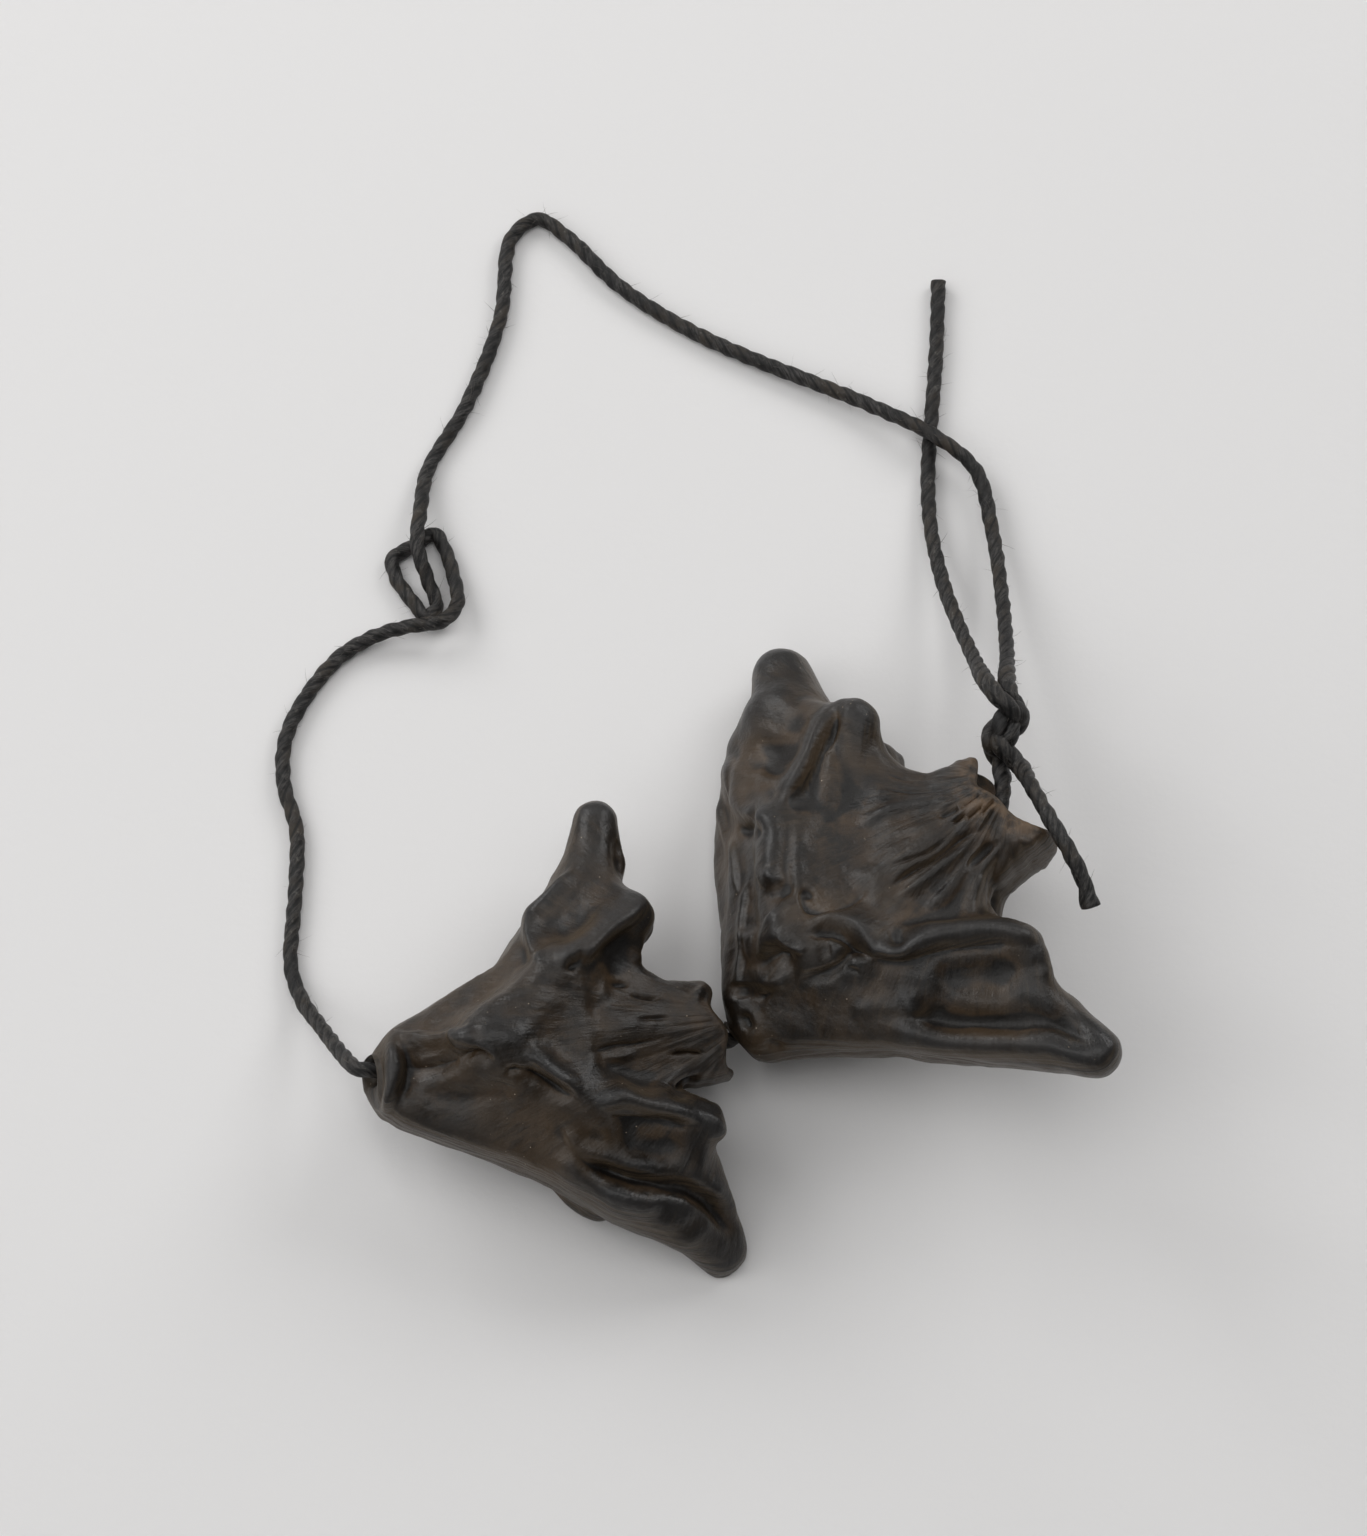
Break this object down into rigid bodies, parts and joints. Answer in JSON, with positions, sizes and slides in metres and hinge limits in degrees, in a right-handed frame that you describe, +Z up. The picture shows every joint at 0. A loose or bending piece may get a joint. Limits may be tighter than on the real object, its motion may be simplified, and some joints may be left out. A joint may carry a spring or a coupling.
{
  "type": "water caltrop nuts on a cord",
  "caption": "Dark horned water caltrop nuts, each bored from base to crown, threaded on a waxed fibre cord with a knot above the crown and a kink in the loop.",
  "frame": {"origin": "middle of the nuts' box, on the surface they lie on", "axes": "+Z up from the surface; seen from -Y and above, +X is to the right of the picture and +Y is away from the viewer"},
  "size_m": [0.0829, 0.1158, 0.0227],
  "materials": {
    "nut_shell": "satin",
    "waxed_cord": "matt"
  },
  "bodies": {
    "root": {"nut_right": "nut_shell", "nut_left": "nut_shell", "cord_long": "waxed_cord", "cord_short": "waxed_cord", "cord_inner": "waxed_cord"}
  },
  "joints": []
}
